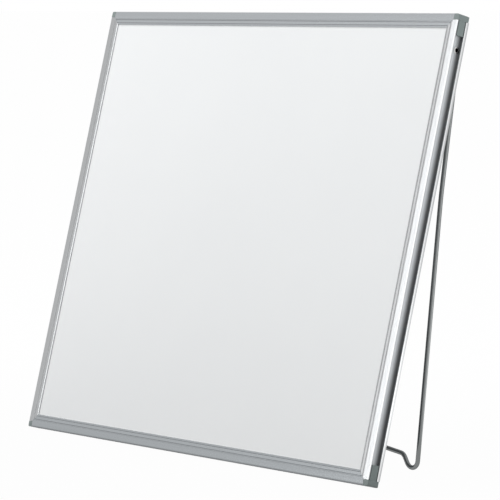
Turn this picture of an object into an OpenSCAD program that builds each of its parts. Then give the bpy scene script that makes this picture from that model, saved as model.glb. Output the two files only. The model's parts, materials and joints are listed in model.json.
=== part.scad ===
// Magnetic desk whiteboard easel: a steel-faced board in a mitred extruded
// frame, with moulded corner caps and one bent wire stand that turns on
// two eyelets and folds flat into the back of the frame.
// Z is up, the board faces -Y and leans back, X runs along its width.

/* [Board] */
// Width of the framed board, over the outer edges
board_w = 305; // [220:1:400]
// Height of the framed board, along its own slope
board_h = 254; // [190:1:340]
// How far the open board leans back from upright, in degrees
lean = 14.6; // [12:0.1:18]
// Thickness of the enamelled steel writing sheet
sheet_t = 0.3; // [0.2:0.05:0.4]
// Thickness of the hardboard core
core_t = 1.3; // [1:0.1:1.4]
// Thickness of the galvanised backing sheet
backing_t = 0.2; // [0.15:0.05:0.3]

/* [Frame extrusion] */
// Width of the rail seen from the front
face_w = 7.9; // [7.5:0.1:9.5]
// Depth of the rail from front to back
frame_depth = 8.8; // [8.6:0.1:10.5]
// Wall thickness of the web, the rib and the back wall
wall_t = 0.7; // [0.6:0.05:0.8]
// Thickness of the front lip over the writing sheet
lip_t = 0.7; // [0.6:0.05:0.8]
// Depth of the open side channel
channel_depth = 2.5; // [2.3:0.1:2.6]
// Front edge of the side channel, behind the front face
channel_front = 0.8; // [0.75:0.05:1]
// Height of the returned lip at the back of the side channel
return_lip = 2.2; // [1.6:0.1:2.4]
// Radius inside the channel at the back
cove_r = 1.3; // [0.6:0.1:1.4]
// Radius inside the channel at the front
root_r = 0.6; // [0.3:0.1:0.8]
// Width of the flat band between the inner slope and the outer bevel
band_w = 2.5; // [2:0.1:3]
// Width of the slope beside the writing sheet
inner_slope_w = 1.1; // [0.6:0.1:1.4]
// Drop of that slope
inner_slope_drop = 0.3; // [0.1:0.05:0.45]
// Drop of the wide outer bevel
bevel_drop = 0.2; // [0.1:0.05:0.3]
// Width of the narrow outermost chamfer
chamfer_w = 1.1; // [0.6:0.1:1.6]
// Drop of that chamfer below the bevel
chamfer_drop = 0.15; // [0.05:0.05:0.3]
// Width of each fine groove along the face
groove_w = 0.3; // [0.2:0.05:0.4]
// Depth of each fine groove
groove_d = 0.15; // [0.1:0.05:0.25]
// Radius of the frame's outer edge at the back
back_edge_r = 0.6; // [0.3:0.1:0.6]

/* [Corner caps] */
// Size of the cap's head, from the outer edges
cap_head = 3.4; // [3.3:0.1:4.5]
// How far the cap's tongues reach from the corner
cap_reach = 11.5; // [10:0.1:20]
// Radius of the cap's outer corner seen from the front
cap_corner_r = 1.2; // [0.6:0.1:1.6]
// Radius of the cap's outer edge at the back
cap_back_r = 1.5; // [0.6:0.1:1.8]
// Distance of the tongue's face from the two edges of the channel's mouth
tongue_set = 0.6; // [0.2:0.1:0.9]
// Place of the cap's screws from the corner
cap_screw_at = 7.8; // [7:0.1:8.4]

/* [Cap screws] */
// Diameter of the screw's shank
screw_d = 1.4; // [1.2:0.1:1.8]
// Diameter of the screw's pan head
screw_head_d = 2.6; // [2.2:0.1:3]
// Height of the screw's pan head
screw_head_h = 0.8; // [0.6:0.1:1.1]
// Length of the screw under its head
screw_length = 2.3; // [1.8:0.1:2.4]

/* [Wire stand] */
// Diameter of the wire
wire_d = 2.5; // [2.2:0.1:2.6]
// Angle between the open stand and the board, in degrees
open_angle = 14.6; // [12:0.1:16]
// Distance of the pivot below the top of the frame
pivot_drop = 18.9; // [17:0.1:40]
// Depth of the pivot behind the front of the frame
pivot_depth = 5.3; // [5.2:0.05:5.4]
// Radius of the bend at the pivot, on the wire's centre line
end_bend_r = 2; // [1.8:0.1:2.4]
// Straight wire between that bend and the crank
crank_start = 5; // [4.8:0.1:8]
// Angle of the crank's slope, in degrees
crank_angle = 20; // [16:1:24]
// Radius of the crank's bends
crank_bend_r = 5; // [3:0.5:6]
// How much the legs draw together just below the crank, in degrees
upper_splay = 9.4; // [8:0.1:11]
// How much they draw together further down, in degrees
leg_splay = 6.9; // [5:0.1:7.5]
// Straight length of the leg's upper part
upper_length = 55; // [30:1:70]
// Radius of the bend from the crank to the upper part
splay_bend_r = 15; // [8:1:20]
// Radius of the bow between the leg's two parts
bow_r = 300; // [150:10:320]
// Radius of the foot's bend, on the wire's centre line
foot_r = 4.6; // [2.5:0.1:5]
// Rise of the wire behind the foot, in degrees from level
riser_angle = 58; // [35:1:65]
// Straight length of that rise
riser_length = 3.5; // [2:0.5:8]
// Radius of the bend from the rise to the crossbar
bar_bend_r = 4.5; // [3:0.5:7]
// Rise of the crossbar towards its middle, in degrees
bar_rise = 7; // [4:0.5:12]
// Radius of the crossbar's arch
arch_r = 280; // [120:10:340]

/* [Pivot fittings] */
// Outer diameter of the eyelet's flange
eyelet_flange_d = 3.7; // [3.5:0.1:3.8]
// Thickness of the eyelet's flange
eyelet_flange_t = 0.5; // [0.4:0.05:0.7]
// Wall of the eyelet's barrel
eyelet_wall = 0.25; // [0.2:0.05:0.3]
// Diameter of the hole in the face of the eyelet
eyelet_eye_d = 2; // [1.6:0.1:2.2]
// Reach of the hinge block below the pivot
block_below = 6; // [5:0.1:6.5]
// Reach of the hinge block above the pivot
block_above = 3.2; // [2.8:0.1:5]
// Wall thickness of the hinge block beside the wire
block_wall = 0.8; // [0.6:0.1:1]
// Thickness of the hinge block's base plate
block_base = 0.7; // [0.5:0.05:0.9]

/* [Clearances] */
// Play of the board in the rail's groove, front to back
slot_play = 0.1; // [0.05:0.05:0.2]
// Gap round the edge of the board in the groove
edge_gap = 0.25; // [0.1:0.05:0.5]
// Gap at each mitre and at the cap's seams
seam_gap = 0.04; // [0.02:0.01:0.08]
// Gap between a cap's tongue and the channel
tongue_gap = 0.1; // [0.05:0.05:0.2]
// Radial running clearance of the wire in the eyelet
pin_clear = 0.05; // [0.03:0.01:0.08]
// Gap between the open wire and the block's stop
stop_gap = 0.08; // [0.04:0.02:0.2]
// Gap between the wire and the other walls of the block
wire_clear = 0.3; // [0.2:0.1:0.4]
// Radial gap of a screw or a barrel in its hole
hole_gap = 0.04; // [0.02:0.01:0.08]

/* [Hidden] */
$fn = 64;
// Overshoot of a cutting shape past the face it cuts
over = 1;

// How far the rib stays behind the inner edge of the face
rib_set = 0.4;
// How far the pin's end stays inside the outer face of the web
pin_set = 0.4;
// Spare depth past the tip of a screw, and beside its head
screw_spare = 0.15;

// Rail section: "in" is the distance inwards from the outer edge of the
// frame, "back" the depth behind its front face.
channel_back = frame_depth - wall_t;
web_in = channel_depth + wall_t;
rib_in = face_w - rib_set;
rib_front = lip_t + sheet_t + core_t + backing_t + slot_play;
rib_back = rib_front + wall_t;
band_out = face_w - inner_slope_w - band_w;
side_front = bevel_drop + chamfer_drop;
// Grooves: one beside the inner slope and a pair where the bevel starts
groove_at = [band_out, band_out + 2 * groove_w, face_w - inner_slope_w];

// Points of an arc from angle a0 to a1 about a centre
function arc(centre, r, a0, a1, steps = 8) = [
    for (i = [0 : steps])
        let (a = a0 + (a1 - a0) * i / steps)
            centre + r * [cos(a), sin(a)]
];

// Outer bevel of the rail as [in, back], from its outer edge inwards
bevel = [[0, side_front], [chamfer_w, bevel_drop], [band_out, 0]];
function bevel_back(at) = at < chamfer_w
    ? side_front - chamfer_drop * at / chamfer_w
    : bevel_drop * (band_out - at) / (band_out - chamfer_w);

// Depth of the cap's screws, clear of the rib
cap_screw_back = rib_back + screw_head_d / 2 + screw_spare;

// Panel: the three sheets lie one behind the other in the groove
panel_in = max(web_in, cap_head) + edge_gap;
panel_w = board_w - 2 * panel_in;
panel_h = board_h - 2 * panel_in;

// Pose of the board: it stands on the rounded back edge of its bottom
edge_low = back_edge_r * cos(lean) - (frame_depth - back_edge_r) * sin(lean) - back_edge_r;
lift = -edge_low;
front_reach = min([for (p = bevel) p[1] * cos(lean) + p[0] * sin(lean)]);
back_reach = (frame_depth - back_edge_r) * cos(lean) + (board_h - back_edge_r) * sin(lean)
    + back_edge_r;
board_y = -(front_reach + back_reach) / 2;

// The straight lengths lap a little way into the bends, and are thinner
// than them by a hair, so that each joins the next inside its surface
wire_lap = 0.1;
wire_step = 0.02;

// Pivot: eyelets in the webs of both stiles
web_outer_x = board_w / 2 - channel_depth;
web_inner_x = board_w / 2 - web_in;
pivot_z = board_h - pivot_drop;
bore_d = wire_d - wire_step + 2 * pin_clear;
barrel_d = bore_d + 2 * eyelet_wall;
// The pin runs straight from inside the eyelet's mouth to the base's edge
pin_outer_x = web_outer_x - pin_set;
pin_inner_x = web_inner_x - block_base - wire_step;

// Stand: its own frame has the pivot's axis along X and the legs down,
// and legs that lie flush with the back of the frame when they fold.
crank_offset = frame_depth - wire_d / 2 - pivot_depth;
crank_length = (crank_offset - 2 * crank_bend_r * (1 - cos(crank_angle))) / sin(crank_angle);
crank_run = crank_start + 2 * crank_bend_r * sin(crank_angle) + crank_length * cos(crank_angle)
    + wire_lap;
stand_turn = open_angle - lean;
pivot_height = lift + pivot_z * cos(lean) - pivot_depth * sin(lean);
// Length from the pivot to the foot's centre line, so that the feet stand
// on the same level as the board
foot_drop = (pivot_height + crank_offset * sin(stand_turn) - wire_d / 2) / cos(stand_turn);
leg_length = (foot_drop - end_bend_r - crank_run - splay_bend_r * sin(upper_splay)
    - upper_length * cos(upper_splay) - bow_r * (sin(upper_splay) - sin(leg_splay))
    - foot_r * (1 - sin(leg_splay))) / cos(leg_splay);
// Headings count from straight down (0) over inwards (90) to up (180)
riser_heading = 90 + riser_angle;
bar_heading = 90 + bar_rise;
// Places across the width: where the leg reaches its straight lower part,
// the foot's bend and the crossbar's bend
lower_x = pin_inner_x - end_bend_r - splay_bend_r * (1 - cos(upper_splay))
    - upper_length * sin(upper_splay) - bow_r * (cos(leg_splay) - cos(upper_splay));
foot_x = lower_x - leg_length * sin(leg_splay) - foot_r * (cos(leg_splay) - cos(riser_heading));
bar_x = foot_x - riser_length * sin(riser_heading)
    - bar_bend_r * (cos(bar_heading) - cos(riser_heading));
bar_length = (bar_x - arch_r * sin(bar_rise)) / sin(bar_heading);
// Depth of the crossbar's middle below the pivot
bar_crown = foot_drop - foot_r * (1 - sin(riser_heading))
    + riser_length * cos(riser_heading)
    - bar_bend_r * (sin(bar_heading) - sin(riser_heading))
    + bar_length * cos(bar_heading)
    - arch_r * (1 - sin(bar_heading));
// Half of the wire, up to the arch: straight length, bend, radius and
// direction of the bend, where 0 is down at first and then outwards, 90 is
// forwards, -90 backwards and 180 inwards
wire_moves = [
    [pin_outer_x - pin_inner_x, 90, end_bend_r, 0],
    [crank_start, crank_angle, crank_bend_r, -90],
    [crank_length, crank_angle, crank_bend_r, 90],
    [wire_lap, upper_splay, splay_bend_r, 180],
    [upper_length, upper_splay - leg_splay, bow_r, 0],
    [leg_length, riser_heading - leg_splay, foot_r, 180],
    [riser_length, riser_heading - bar_heading, bar_bend_r, 0],
    [bar_length, 0, 0, 0]
];

// Colours
aluminium = [0.74, 0.75, 0.77];
enamel = [0.94, 0.95, 0.95];
hardboard = [0.45, 0.33, 0.22];
galvanised = [0.66, 0.68, 0.70];
cap_grey = [0.50, 0.53, 0.53];
zinc = [0.72, 0.72, 0.74];
bright_wire = [0.80, 0.81, 0.83];
block_black = [0.16, 0.16, 0.17];

// Puts a shape from the board's own frame into the leaning pose
module leaning() {
    translate([0, board_y, lift]) rotate([-lean, 0, 0]) children();
}

// Section of the rail as one closed outline
module rail_section() {
    difference() {
        polygon(concat(
            bevel,
            [
                [face_w - inner_slope_w, 0],
                [face_w, inner_slope_drop],
                [face_w, lip_t],
                [web_in, lip_t],
                [web_in, rib_front],
                [rib_in, rib_front],
                [rib_in, rib_back],
                [web_in, rib_back],
                [web_in, frame_depth]
            ],
            arc([back_edge_r, frame_depth - back_edge_r], back_edge_r, 90, 180),
            [
                [0, frame_depth - return_lip],
                [wall_t, frame_depth - return_lip]
            ],
            [[wall_t, channel_back]],
            arc([channel_depth - cove_r, channel_back - cove_r], cove_r, 90, 0),
            arc([channel_depth - root_r, channel_front + root_r], root_r, 0, -90),
            [[0, channel_front]]
        ));
        for (at = groove_at) {
            polygon([
                [at - groove_w / 2, -over],
                [at + groove_w / 2, -over],
                [at + groove_w / 2, bevel_back(min(at, band_out))],
                [at, groove_d],
                [at - groove_w / 2, bevel_back(min(at - groove_w / 2, band_out))]
            ]);
        }
    }
}

// Extrudes an outline in [in, back] along X from 0, with "in" upwards
module along_x(length) {
    rotate([90, 0, 90]) linear_extrude(length) mirror([1, -1]) children();
}

// Hole through the web for a screw, with its axis along the web's normal
module web_hole(diameter) {
    translate([0, 0, channel_depth - over])
        cylinder(d = diameter, h = wall_t + 2 * over);
}

// One rail, lying along X with its outer edge on z = 0, mitred at both
// ends and cut back at the corners for the caps
module rail(length) {
    mitre = length / 2 - seam_gap;
    step_x = length / 2 - cap_head;
    difference() {
        intersection() {
            translate([-length / 2, 0, 0]) along_x(length) rail_section();
            translate([0, frame_depth + over, 0])
                rotate([90, 0, 0])
                    linear_extrude(frame_depth + 2 * over)
                        polygon([
                            [-mitre - over, -over],
                            [mitre + over, -over],
                            [mitre - face_w - over, face_w + over],
                            [-mitre + face_w + over, face_w + over]
                        ]);
        }
        for (side = [-1, 1]) {
            translate([side * (step_x + cap_head / 2 + over / 2), frame_depth / 2, cap_head / 2 - over / 2])
                cube([cap_head + over, frame_depth + 2 * over, cap_head + over], center = true);
            translate([side * (length / 2 - cap_screw_at), cap_screw_back, 0])
                web_hole(screw_d + 2 * hole_gap);
        }
    }
}

// Places for the other three sides: each child lies like the bottom rail
module on_top() { translate([0, 0, board_h]) rotate([0, 180, 0]) children(); }
module on_right() { translate([board_w / 2, 0, board_h / 2]) rotate([0, -90, 0]) children(); }
module on_left() { translate([-board_w / 2, 0, board_h / 2]) rotate([0, 90, 0]) children(); }

module bottom_rail() {
    color(aluminium) leaning() rail(board_w);
}

module top_rail() {
    color(aluminium) leaning() on_top() rail(board_w);
}

// A stile is a rail with the eyelet's hole near its top end
module stile(side) {
    difference() {
        rail(board_h);
        translate([side * (pivot_z - board_h / 2), pivot_depth, 0])
            web_hole(barrel_d + 2 * hole_gap);
    }
}

module right_stile() {
    color(aluminium) leaning() on_right() stile(1);
}

module left_stile() {
    color(aluminium) leaning() on_left() stile(-1);
}

// A flat sheet in the frame's groove, from one depth to another
module panel_layer(front, thickness) {
    translate([-panel_w / 2, front, panel_in])
        cube([panel_w, thickness, panel_h]);
}

module writing_surface() {
    color(enamel) leaning() panel_layer(lip_t, sheet_t);
}

module core_board() {
    color(hardboard) leaning() panel_layer(lip_t + sheet_t, core_t);
}

module backing_sheet() {
    color(galvanised) leaning() panel_layer(lip_t + sheet_t + core_t, backing_t);
}

// Outline of the cap's head in [in, back]: the frame's outer bevel in
// front and its rounded edge behind
module cap_section() {
    polygon(concat(
        [[0, side_front], [chamfer_w, bevel_drop], [cap_head - seam_gap, bevel_back(cap_head)]],
        [[cap_head - seam_gap, frame_depth]],
        arc([cap_back_r, frame_depth - cap_back_r], cap_back_r, 90, 180)
    ));
}

// Outline of the tongue in [in, back]: it lies in the side channel, with a
// raised land that shows in the channel's mouth
module tongue_section() {
    mouth_back = frame_depth - return_lip - tongue_set;
    front = channel_front + tongue_set;
    floor_in = channel_depth - tongue_gap;
    lip_in = wall_t + tongue_gap;
    polygon(concat(
        [[tongue_gap, front]],
        arc([floor_in - root_r, front + root_r], root_r, -90, 0),
        arc([floor_in - cove_r, channel_back - tongue_gap - cove_r], cove_r, 0, 90),
        [
            [lip_in, channel_back - tongue_gap],
            [lip_in, mouth_back],
            [tongue_gap, mouth_back]
        ]
    ));
}

// Corner cap for the corner at the origin, with its sides along +X and +Z
module corner_cap() {
    head = cap_head - seam_gap;
    difference() {
        union() {
            intersection() {
                along_x(head) cap_section();
                linear_extrude(head) cap_section();
                translate([0, frame_depth + over, 0])
                    rotate([90, 0, 0])
                        linear_extrude(frame_depth + 2 * over)
                            union() {
                                translate([cap_corner_r, cap_corner_r]) circle(cap_corner_r);
                                translate([cap_corner_r, 0]) square([head - cap_corner_r, head]);
                                translate([0, cap_corner_r]) square([head, head - cap_corner_r]);
                            }
            }
            translate([head, 0, 0]) along_x(cap_reach - head) tongue_section();
            translate([0, 0, head]) linear_extrude(cap_reach - head) tongue_section();
        }
        translate([cap_screw_at, cap_screw_back, 0]) cap_pilot();
        translate([0, cap_screw_back, cap_screw_at]) rotate([0, 90, 0]) cap_pilot();
    }
}

// Pilot hole for a cap's screw, from the tongue's inner side
module cap_pilot() {
    tip_in = web_in - screw_length - screw_spare;
    translate([0, 0, tip_in])
        cylinder(d = screw_d + 2 * hole_gap, h = channel_depth - tip_in + over);
}

// Pan-head screw with its head's seat on z = 0 and its shank downwards
module pan_screw() {
    rotate_extrude()
        polygon(concat(
            [
                [0, -screw_length],
                [screw_d / 4, -screw_length],
                [screw_d / 2, -screw_length + screw_d / 4],
                [screw_d / 2, 0],
                [screw_head_d / 2, 0],
                [screw_head_d / 2, screw_head_h / 2]
            ],
            [
                for (a = [15 : 15 : 90])
                    [screw_head_d / 2 * cos(a), screw_head_h / 2 * (1 + sin(a))]
            ]
        ));
}

// The pair of screws of one corner, from inside the frame
module corner_screws() {
    translate([cap_screw_at, cap_screw_back, web_in]) pan_screw();
    translate([web_in, cap_screw_back, cap_screw_at]) rotate([0, 90, 0]) pan_screw();
}

// Places for the corners: left or right is -1 or 1, bottom or top -1 or 1
module at_corner(side, level) {
    translate([side * board_w / 2, 0, level > 0 ? board_h : 0])
        mirror([side > 0 ? 1 : 0, 0, 0])
            mirror([0, 0, level > 0 ? 1 : 0])
                children();
}

module corner_cap_top_left() {
    color(cap_grey) leaning() at_corner(-1, 1) corner_cap();
}

module corner_cap_top_right() {
    color(cap_grey) leaning() at_corner(1, 1) corner_cap();
}

module corner_cap_bottom_left() {
    color(cap_grey) leaning() at_corner(-1, -1) corner_cap();
}

module corner_cap_bottom_right() {
    color(cap_grey) leaning() at_corner(1, -1) corner_cap();
}

module cap_screws_top_left() {
    color(zinc) leaning() at_corner(-1, 1) corner_screws();
}

module cap_screws_top_right() {
    color(zinc) leaning() at_corner(1, 1) corner_screws();
}

module cap_screws_bottom_left() {
    color(zinc) leaning() at_corner(-1, -1) corner_screws();
}

module cap_screws_bottom_right() {
    color(zinc) leaning() at_corner(1, -1) corner_screws();
}

// Puts a shape at a pivot: the pivot's axis on X, drawn for the right side
module at_pivot(side) {
    translate([0, pivot_depth, pivot_z]) mirror([side > 0 ? 0 : 1, 0, 0]) children();
}

// Eyelet: a flanged bush through the web and the hinge block's base, with
// a smaller eye in its face. The flange is undercut to clear the cove.
module pivot_eyelet() {
    barrel = wall_t + block_base;
    rim = (eyelet_flange_d - barrel_d) / 4;
    eye_back = eyelet_flange_t / 2;
    translate([web_outer_x, 0, 0])
        rotate([0, 90, 0])
            rotate_extrude()
                polygon([
                    [eyelet_eye_d / 2, eyelet_flange_t - rim],
                    [eyelet_eye_d / 2, eye_back - rim],
                    [bore_d / 2, eye_back - rim],
                    [bore_d / 2, -barrel],
                    [barrel_d / 2, -barrel],
                    [barrel_d / 2, 0],
                    [barrel_d / 2 + hole_gap + rim / 2, 0],
                    [eyelet_flange_d / 2, rim],
                    [eyelet_flange_d / 2, eyelet_flange_t - rim],
                    [eyelet_flange_d / 2 - rim, eyelet_flange_t],
                    [eyelet_eye_d / 2 + rim, eyelet_flange_t]
                ]);
}

module pivot_eyelet_left() {
    color(zinc) leaning() at_pivot(-1) pivot_eyelet();
}

module pivot_eyelet_right() {
    color(zinc) leaning() at_pivot(1) pivot_eyelet();
}

// Hinge block: a moulded hood on the inside of the web. Its cavity is
// open in front and below, and its sloping back wall stops the open wire.
module hinge_block() {
    leg_x = pin_inner_x - end_bend_r;
    cavity_in = leg_x - wire_d / 2 - wire_clear;
    block_in = cavity_in - block_wall;
    block_front = rib_back - pivot_depth + seam_gap;
    block_back = frame_depth - pivot_depth - seam_gap;
    stop_back = (wire_d / 2 + stop_gap) / cos(open_angle);
    cavity_top = wire_d / 2 + wire_clear;
    difference() {
        translate([block_in, block_front, -block_below])
            cube([web_inner_x - block_in, block_back - block_front, block_below + block_above]);
        // Space that the wire swings in
        translate([cavity_in, 0, 0])
            rotate([90, 0, 90])
                linear_extrude(web_inner_x - block_base - cavity_in)
                    polygon([
                        [block_front - over, cavity_top],
                        [stop_back - cavity_top * tan(open_angle), cavity_top],
                        [stop_back + (block_below + over) * tan(open_angle), -block_below - over],
                        [block_front - over, -block_below - over]
                    ]);
        // Seat of the eyelet's barrel
        translate([web_inner_x - block_base - over, 0, 0])
            rotate([0, 90, 0])
                cylinder(d = barrel_d + 2 * hole_gap, h = block_base + 2 * over);
    }
}

module hinge_block_left() {
    color(block_black) leaning() at_pivot(-1) hinge_block();
}

module hinge_block_right() {
    color(block_black) leaning() at_pivot(1) hinge_block();
}

// A sector of a ring of wire, from +X towards +Y
module wire_arc(angle, radius) {
    rotate_extrude(angle = angle, $fn = max(64, ceil(1800 / angle)))
        translate([radius, 0]) circle(d = wire_d, $fn = 32);
}

// A bend of the wire that starts upwards at the origin and turns to +X
module wire_bend(angle, radius) {
    translate([radius, 0, 0]) rotate([90, 0, 180]) wire_arc(angle, radius);
}

// Follows a list of moves, each a straight length and then a bend
module wire_run(moves, step = 0) {
    if (step < len(moves)) {
        move = moves[step];
        length = move[0];
        angle = move[1];
        radius = move[2];
        direction = move[3];
        lap_in = step > 0 ? wire_lap : 0;
        translate([0, 0, -lap_in])
            cylinder(d = wire_d - wire_step, h = length + lap_in + wire_lap, $fn = 32);
        if (angle > 0)
            translate([0, 0, length]) rotate([0, 0, direction]) {
                wire_bend(angle, radius);
                translate([radius, 0, 0])
                    rotate([0, angle, 0])
                        translate([-radius, 0, 0])
                            rotate([0, 0, -direction])
                                wire_run(moves, step + 1);
            }
    }
}

// Half of the stand, from the pin in the right eyelet to the arch
module half_stand() {
    translate([pin_outer_x, 0, 0]) rotate([0, -90, 0]) rotate([0, 0, 180]) wire_run(wire_moves);
}

// The arched middle of the crossbar
module bar_arch() {
    translate([0, crank_offset, -bar_crown - arch_r])
        rotate([90, 0, 0])
            rotate([0, 0, 90 - bar_rise])
                wire_arc(2 * bar_rise, arch_r);
}

module wire_stand() {
    color(bright_wire) leaning()
        translate([0, pivot_depth, pivot_z])
            rotate([open_angle, 0, 0])
                union() {
                    half_stand();
                    mirror([1, 0, 0]) half_stand();
                    bar_arch();
                }
}

writing_surface();
core_board();
backing_sheet();
top_rail();
bottom_rail();
left_stile();
right_stile();
corner_cap_top_left();
corner_cap_top_right();
corner_cap_bottom_left();
corner_cap_bottom_right();
cap_screws_top_left();
cap_screws_top_right();
cap_screws_bottom_left();
cap_screws_bottom_right();
pivot_eyelet_left();
pivot_eyelet_right();
hinge_block_left();
hinge_block_right();
wire_stand();
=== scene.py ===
# %% [markdown]
# # A magnetic desk whiteboard on a bent wire stand
#
# This lesson dresses a finished CAD model. The model says where every part
# sits and how the stand turns. Blender gives each part its edges, its
# surface and its light. We load the model first and never move its parts.

# %% Load the model
import json
from math import cos, pi, radians, sin

import bmesh
import bpy
from mathutils import Matrix, Vector

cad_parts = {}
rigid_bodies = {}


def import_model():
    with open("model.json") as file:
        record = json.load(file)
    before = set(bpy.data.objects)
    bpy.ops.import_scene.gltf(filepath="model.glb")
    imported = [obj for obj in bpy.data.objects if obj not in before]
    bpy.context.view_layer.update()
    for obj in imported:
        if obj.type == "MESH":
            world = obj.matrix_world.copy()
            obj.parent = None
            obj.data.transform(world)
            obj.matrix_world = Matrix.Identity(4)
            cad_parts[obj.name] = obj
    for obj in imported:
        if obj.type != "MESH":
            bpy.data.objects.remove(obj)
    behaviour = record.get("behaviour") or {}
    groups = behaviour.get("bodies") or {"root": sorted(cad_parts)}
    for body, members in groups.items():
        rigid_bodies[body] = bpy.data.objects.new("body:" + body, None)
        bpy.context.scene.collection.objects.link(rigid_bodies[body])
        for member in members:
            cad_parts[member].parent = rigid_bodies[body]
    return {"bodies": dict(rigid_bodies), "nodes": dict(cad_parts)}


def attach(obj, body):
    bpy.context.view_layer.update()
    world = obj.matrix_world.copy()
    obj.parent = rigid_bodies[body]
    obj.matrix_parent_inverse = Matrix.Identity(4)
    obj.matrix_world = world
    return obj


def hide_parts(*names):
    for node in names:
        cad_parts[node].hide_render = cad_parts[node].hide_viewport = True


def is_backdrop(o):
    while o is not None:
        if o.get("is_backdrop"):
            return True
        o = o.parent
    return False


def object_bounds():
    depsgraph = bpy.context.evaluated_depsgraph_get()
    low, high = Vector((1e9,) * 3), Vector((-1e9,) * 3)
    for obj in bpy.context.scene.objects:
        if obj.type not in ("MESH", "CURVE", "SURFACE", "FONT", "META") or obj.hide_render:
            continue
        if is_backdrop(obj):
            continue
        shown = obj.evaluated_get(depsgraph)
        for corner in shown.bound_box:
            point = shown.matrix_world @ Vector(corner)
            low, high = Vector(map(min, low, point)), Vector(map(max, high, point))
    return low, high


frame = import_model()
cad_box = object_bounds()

scene = bpy.context.scene
kept = set(frame["nodes"].values()) | set(frame["bodies"].values())
for leftover in [o for o in bpy.data.objects if o not in kept]:
    bpy.data.objects.remove(leftover)

# %% [markdown]
# ## The board's own directions
#
# The board leans back, so its edges are not level with the room. It is
# easier to think in its own directions: x across it, "back" behind its
# front face, and "up" along its slope from the bottom edge. One matrix
# turns those into the room's directions. All sizes are in millimetres, as
# they are in the CAD model, and the matrix turns them into metres too.

# %% Sizes and the leaning frame
MM = 0.001
BOARD_W, BOARD_H, LEAN = 305.0, 254.0, 14.6
FACE_W, FRAME_DEPTH, WALL = 7.9, 8.8, 0.7
LIP, CHANNEL_DEPTH, CHANNEL_FRONT, RETURN_LIP = 0.7, 2.5, 0.8, 2.2
COVE_R, ROOT_R, BACK_R = 1.3, 0.6, 0.6
BAND_W, SLOPE_W, SLOPE_DROP = 2.5, 1.1, 0.3
BEVEL_DROP, CHAMFER_W, CHAMFER_DROP = 0.2, 1.1, 0.15
GROOVE_W, GROOVE_D = 0.3, 0.15
RIB_FRONT, RIB_SET, CAP_HEAD, SEAM = 2.6, 0.4, 3.4, 0.04
PIVOT_DEPTH, PIVOT_DROP, PIN_SET, EYE_R = 5.3, 18.9, 0.4, 1.0
WEB_IN = CHANNEL_DEPTH + WALL
BAND_OUT = FACE_W - SLOPE_W - BAND_W
GROOVES = (BAND_OUT, BAND_OUT + 2 * GROOVE_W, FACE_W - SLOPE_W)
PIVOT_UP = BOARD_H - PIVOT_DROP
PIN_OUTER_X = BOARD_W / 2 - CHANNEL_DEPTH - PIN_SET


def dsin(angle):
    """The sine of an angle in degrees."""
    return sin(radians(angle))


def dcos(angle):
    """The cosine of an angle in degrees."""
    return cos(radians(angle))


BEVEL_POINTS = ((0, BEVEL_DROP + CHAMFER_DROP), (CHAMFER_W, BEVEL_DROP), (BAND_OUT, 0))
lift = (FRAME_DEPTH - BACK_R) * dsin(LEAN) + BACK_R - BACK_R * dcos(LEAN)
front_reach = min(back * dcos(LEAN) + inwards * dsin(LEAN) for inwards, back in BEVEL_POINTS)
back_reach = (FRAME_DEPTH - BACK_R) * dcos(LEAN) + (BOARD_H - BACK_R) * dsin(LEAN) + BACK_R
board_y = -(front_reach + back_reach) / 2

# x across, y back and z up the slope, in millimetres, to the room in metres
LEANING = (
    Matrix.Scale(MM, 4)
    @ Matrix.Translation((0, board_y, lift))
    @ Matrix.Rotation(radians(-LEAN), 4, "X")
)
pivot = LEANING @ Vector((0, PIVOT_DEPTH, PIVOT_UP))
print("board stands at y = %.2f mm, pivot at %.2f mm above the desk" % (board_y, pivot.z / MM))

# %% [markdown]
# ## The camera
#
# The photograph was taken from far off with a long lens, well to the right
# of the board and looking slightly down. A long lens keeps the board's
# sides nearly parallel. The camera isn't rolled.

# %% Camera
SENSOR_W, PICTURE_W, FOCAL_LENGTH = 36.0, 500, 3188.1  # millimetres, then pixels
CAMERA_AT, LOOKS_DOWN, TURNED = (1.38939, -1.12686, 0.25447), 4.4725, 50.7129

camera = bpy.data.objects.new("camera", bpy.data.cameras.new("camera"))
scene.collection.objects.link(camera)
camera.data.sensor_width = SENSOR_W
camera.data.lens = SENSOR_W * FOCAL_LENGTH / PICTURE_W
camera.data.clip_end = 200.0
camera.location = CAMERA_AT
camera.rotation_euler = (radians(90 - LOOKS_DOWN), 0, radians(TURNED))
scene.camera = camera
scene.view_settings.view_transform = "Standard"
print("lens: %.0f mm" % camera.data.lens)

# %% [markdown]
# ## Writing shaders as sums
#
# A shader is a web of small nodes. Drawing that web with code is hard to
# read, so we wrap each output in a class that knows how to add, subtract
# and multiply. Then a pattern is written as a formula, and the formula
# makes its own Math nodes.

# %% Shader maths
def socket_of(node, key):
    """A node's socket by its name, or by its number where the key is _0, _1 and so on."""
    return node.inputs[int(key[1:]) if key[0] == "_" else key.replace("_", " ")]


class Value:
    """An output of a shader tree that can be used in sums."""

    def __init__(self, tree, output):
        self.tree, self.output = tree, output

    def _sum(self, operation, first, second):
        node = self.tree.nodes.new("ShaderNodeMath")
        node.operation = operation
        for socket, part in zip(node.inputs, (first, second)):
            if isinstance(part, Value):
                self.tree.links.new(part.output, socket)
            else:
                socket.default_value = part
        return Value(self.tree, node.outputs[0])

    def __add__(self, other): return self._sum("ADD", self, other)
    def __radd__(self, other): return self._sum("ADD", other, self)
    def __sub__(self, other): return self._sum("SUBTRACT", self, other)
    def __rsub__(self, other): return self._sum("SUBTRACT", other, self)
    def __mul__(self, other): return self._sum("MULTIPLY", self, other)
    def __rmul__(self, other): return self._sum("MULTIPLY", other, self)
    def over(self, other): return self._sum("GREATER_THAN", self, other)


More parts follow.
